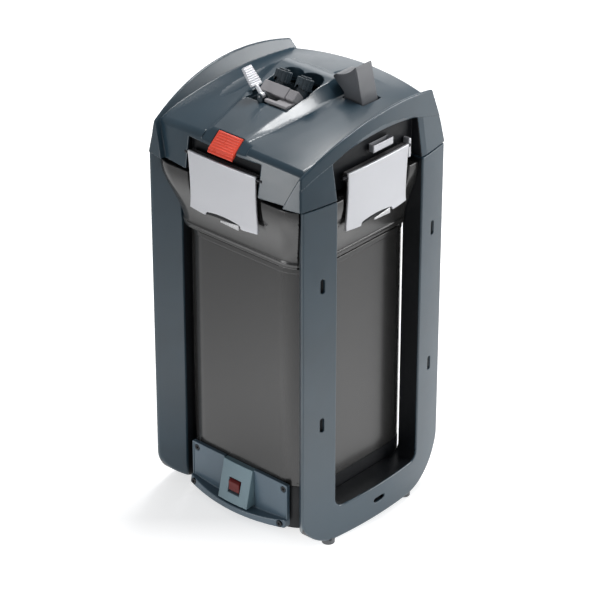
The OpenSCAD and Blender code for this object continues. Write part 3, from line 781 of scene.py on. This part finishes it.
nut_mesh = surface_net(hose_nut, (axis(-13, 13, 0.55), axis(-18, 12, 0.55), axis(596, 632, 0.55)))
for body, x in (("nut_l", -PORT_X), ("nut_r", PORT_X)):
    side = {"nut_l": "left", "nut_r": "right"}[body]
    moved = (nut_mesh[0] + np.array([x, 0, 0]), nut_mesh[1], nut_mesh[2])
    solid(f"hose_nut_{side}", None, None, body, "nut_plastic", f"nut_{side}", mesh_of=moved)

LEVER_REST = 41


def lever(x, y, z):
    u, w = turned(x, z, (LEVER_AT[0], LEVER_AT[2]), LEVER_REST)
    v = y - LEVER_AT[1]
    grow = np.clip((41 - w) / 22, 0, 1)
    hub = meet(np.hypot(u, w) - 3.8, abs(v) - 3.15, r=0.5)
    stem = meet(meet(abs(u) - 1.8, abs(v) - 2.4, r=0.8), -w, w - 18, r=0.3)
    thick = 2.3 + 0.45 * np.cos(2 * math.pi * (w - 17) / 3.1) * np.clip((w - 15) / 2, 0, 1)
    paddle = meet(meet((abs(u) - thick) * 0.8, abs(v) - 8.0 - 1.6 * grow, r=0.9), 14.6 - w, w - 42.5, r=1.4)
    form = join(hub, stem, paddle, r=1.2)
    return cut(form, np.hypot(u, w) - 1.6, r=0.3)


lever_axes = (axis(-56, -12, 0.55), axis(-58, -37, 0.55), axis(596, 640, 0.55))
solid("lever_lock", lever, lever_axes, "lever", "clip_plastic", "lock_lever")

# ---- front panel ----

PANEL_TILT, PANEL_PIVOT = 10, (-124.0, 82.0)


def panel_bow(x, y, z, forward=0.0):
    c, s = math.cos(math.radians(PANEL_TILT)), math.sin(math.radians(PANEL_TILT))
    dy, dz = y - PANEL_PIVOT[0], z - PANEL_PIVOT[1]
    return np.hypot(x, dy * c - dz * s - 340 - forward) - 340


def front_panel(x, y, z):
    """A plate with a thin rim, and a bowed lip that grows towards the middle."""
    bow = panel_bow(x, y, z)
    t = (abs(x) / 88) ** 2
    sides = meet(abs(x) - 88, z - 82, r=1.5)
    plate = meet(-117.2 - y, sides, r=1)
    rim = meet(meet(-118.4 - y, sides, r=0.8), -meet(abs(x) - 85.6, z - 79.6, r=1), r=0.5)
    lip = meet(meet(bow, z - 21 - 8 * t, r=1.4), abs(x) - 88, r=1.5)
    form = join(np.minimum(plate, rim), lip, r=0.8)
    form = meet(form, 13 + 4 * t - z, y + 112.1, r=1.0)
    form = cut(form, np.maximum(abs(x) - 27, abs(z - 54.5) - 31), r=0.5)
    for s in (-80, 80):
        for zz, depth in ((73, -115.0), (22, -123.4)):
            form = cut(form, np.maximum(np.hypot(x - s, z - zz) - 4.7, y - depth), r=0.5)
    return form


def panel_block(x, y, z):
    """The wedge round the switch: flush with the plate at its top, proud at its foot."""
    wedge = (-120.4 - (82 - z) * 0.235 - y + x * x / 680) * 0.97
    form = meet(wedge, abs(x) - 26.6, r=0.8)
    form = meet(form, z - 80.6, 24.0 - z, r=0.8)
    form = meet(form, y + 112.1, r=0.4)
    return cut(form, box(x, y, z, (-10.6, -170, 37.3), (10.6, -100, 58.7), 0.4), r=0.6)


def rocker(x, y, z):
    v, w = y + 122, z - 48
    dip = np.hypot(v + 44, w) - 36.8
    form = meet(np.hypot(v, w) - 10.1, abs(x) - 9.5, r=0.8)
    form = cut(form, dip, r=0.6)
    return cut(form, np.maximum(abs(x) - 8.6, -2.5 - v), r=0.4)


panel_axes = (axis(-91, 91, 1.4), axis(-142, -109, 1.1), axis(9, 85, 1.1))
block_axes = (axis(-28, 28, 1.0), axis(-140, -110, 1.0), axis(12, 82, 1.0))
rocker_axes = (axis(-12, 12, 0.6), axis(-134, -114, 0.6), axis(36, 60, 0.6))
solid("panel_shell", front_panel, panel_axes, "can", "panel_plastic", "front_panel")
solid("panel_centre", panel_block, block_axes, "can", "panel_accent", "panel_block")
solid("rocker_key", rocker, rocker_axes, "switch", "red_plastic", "power_switch")
bpy.data.objects["rocker_key"].data.materials[0] = plastic("rocker_plastic", (0.1, 0.006, 0.005), 0.35, specular=0.3)

# ---- carried-over CAD nodes ----

FINISH = {
    "base_tray": "black_plastic", "feet": "foot_rubber", "frame_screws": "steel",
    "panel_screws": "black_plastic", "control_board": "board", "power_gland": "black_plastic",
    "floor_grate": "basket_plastic", "standpipe": "basket_plastic", "lower_basket": "basket_plastic",
    "middle_basket": "basket_plastic", "upper_basket": "basket_plastic",
    "prefilter_tray": "basket_plastic", "head_base": "black_plastic",
    "seal_ring": "black_plastic", "well_liner": "nut_plastic", "clip_pins": "dark_steel",
    "motor_stator": "winding", "rotor": "dark_steel", "pump_shaft": "white_ceramic",
    "shaft_bushes": "black_plastic", "impeller_cover": "basket_plastic",
    "primer_cylinder": "black_plastic", "primer_spring": "steel", "lever_pin": "steel",
}
for name, slot in FINISH.items():
    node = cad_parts[name]
    node.data.materials.clear()
    node.data.materials.append(MATERIALS[slot])
    weld = node.modifiers.new("weld", "WELD")
    weld.merge_threshold = 0.00001
    bevel = node.modifiers.new("bevel", "BEVEL")
    bevel.width = 0.0004
    bevel.segments = 2
    bevel.limit_method = "ANGLE"
    bevel.angle_limit = math.radians(40)
    bevel.harden_normals = True

# ---- pads and media ----

PIPE = 78.0


def filling(x, y, z, low, high, half, corner, crown, soft):
    """A block of media with crowned faces and the corner for the pipe left out."""
    side = rounded_square(x, y, half, corner)
    rise = crown * np.clip(1 - (np.maximum(abs(x), abs(y)) / half) ** 4, 0, 1)
    form = meet(side, z - high + crown - rise, low + 0.3 * crown - 0.3 * rise - z, r=soft)
    notch = np.hypot(np.maximum(PIPE - x, 0), np.maximum(PIPE - y, 0)) - 22.4
    return cut(form, notch, r=soft * 0.6)


pad_axis = axis(-101, 101, 3.0, (-101, -90, 1.6), (90, 101, 1.6), (50, 66, 2.0))
for name, node, slot, low, high, half, corner, crown, soft in (
    ("fleece_pad", "fine_pad", "fleece", 319, 359, 98.5, 31.5, 3.0, 7.0),
    ("foam_pad", "coarse_pad", "foam", 430, 454, 95.5, 29.5, 2.0, 4.5),
    ("ceramic_fill", "ceramic_media", "media", 103, 181, 98.5, 31.5, 2.0, 4.0),
    ("middle_fill", "middle_media", "media", 211, 289, 98.5, 31.5, 2.0, 4.0),
):
    heights = axis(low - 2, high + 2, 4.0, (low - 2, low + 9, 1.5), (high - 10, high + 2, 1.5))
    solid(
        name,
        lambda x, y, z: filling(x, y, z, low, high, half, corner, crown, soft),
        (pad_axis, pad_axis, heights),
        "can",
        slot,
        node,
    )

# ---- floor and light ----

floor_mesh = bpy.data.meshes.new("floor")
reach = 9.0
floor_mesh.from_pydata(
    [(-reach, -reach, 0), (reach, -reach, 0), (reach, reach, 0), (-reach, reach, 0)], [], [(0, 1, 2, 3)]
)
floor = bpy.data.objects.new("floor", floor_mesh)
scene.collection.objects.link(floor)
floor_material, floor_tree, floor_shader, floor_place = node_material("floor_paper_with_painted_glow")
floor_shader.inputs["Base Color"].default_value = (0.66, 0.66, 0.66, 1)
floor_shader.inputs["Roughness"].default_value = 0.9
# Painted light: the floor glows in a shaped pool round and behind the object. The pool is brightest just in front of
# the object and fades to the sides and towards the camera. The glow also washes out the object's shadow on the
# floor.
floor_shader.inputs["Emission Color"].default_value = (1, 1, 1, 1)
turn_about = floor_tree.nodes.new("ShaderNodeMapping")
turn_about.inputs["Rotation"].default_value = (0, 0, math.radians(-42))
split = floor_tree.nodes.new("ShaderNodeSeparateXYZ")
floor_tree.links.new(floor_place, turn_about.inputs["Vector"])
floor_tree.links.new(turn_about.outputs["Vector"], split.inputs["Vector"])
across, along = floor_tree.nodes.new("ShaderNodeMath"), floor_tree.nodes.new("ShaderNodeMath")
across.operation, along.operation = "ABSOLUTE", "MULTIPLY"
floor_tree.links.new(split.outputs["X"], across.inputs[0])
widen, shrink, near = (floor_tree.nodes.new("ShaderNodeMath") for _ in range(3))
widen.operation, shrink.operation, near.operation = "MULTIPLY_ADD", "DIVIDE", "MULTIPLY"
widen.inputs[1].default_value, widen.inputs[2].default_value = 0.24, 1.0
floor_tree.links.new(split.outputs["Y"], widen.inputs[0])
floor_tree.links.new(across.outputs[0], shrink.inputs[0])
floor_tree.links.new(widen.outputs[0], shrink.inputs[1])
floor_tree.links.new(ramp(floor_tree, shrink.outputs[0], 0.62, 0, 0.42, 0.95), along.inputs[0])
floor_tree.links.new(ramp(floor_tree, split.outputs["Y"], 0, 1, -1.0, -0.3), along.inputs[1])
floor_tree.links.new(along.outputs[0], near.inputs[0])
floor_tree.links.new(ramp(floor_tree, split.outputs["Y"], 2, 1, -0.28, -0.1), near.inputs[1])
floor_tree.links.new(near.outputs[0], floor_shader.inputs["Emission Strength"])
floor_mesh.materials.append(floor_material)

world = bpy.data.worlds.new("studio")
scene.world = world
world.use_nodes = True
backdrop = world.node_tree.nodes["Background"]
backdrop.inputs["Color"].default_value = (0.93, 0.96, 1.0, 1)
backdrop.inputs["Strength"].default_value = 0.35
scene.view_settings.view_transform = "Standard"


def area_light(name, place, target, size, power, colour=(1, 1, 1)):
    data = bpy.data.lights.new(name, "AREA")
    data.shape = "RECTANGLE"
    data.size, data.size_y = size
    data.energy = power
    data.color = colour
    light = bpy.data.objects.new(name, data)
    scene.collection.objects.link(light)
    light.location = place
    light.rotation_euler = (Vector(target) - Vector(place)).to_track_quat("-Z", "Y").to_euler()


area_light("key", (-0.24, 0.97, 3.0), (0.03, -0.02, 0.6), (0.95, 0.95), 56)
area_light("top", (-1.3, 1.5, 2.6), (0, 0, 0.5), (1.4, 1.4), 7)
area_light("side", (1.75, 2.25, 1.2), (0, 0, 0.55), (1.5, 1.6), 66)
area_light("back", (-1.55, 2.1, 1.2), (0, 0, 0.6), (0.8, 1.0), 4)
area_light("front", (-0.85, -2.5, 0.35), (0, 0, 0.5), (0.9, 0.8), 18)
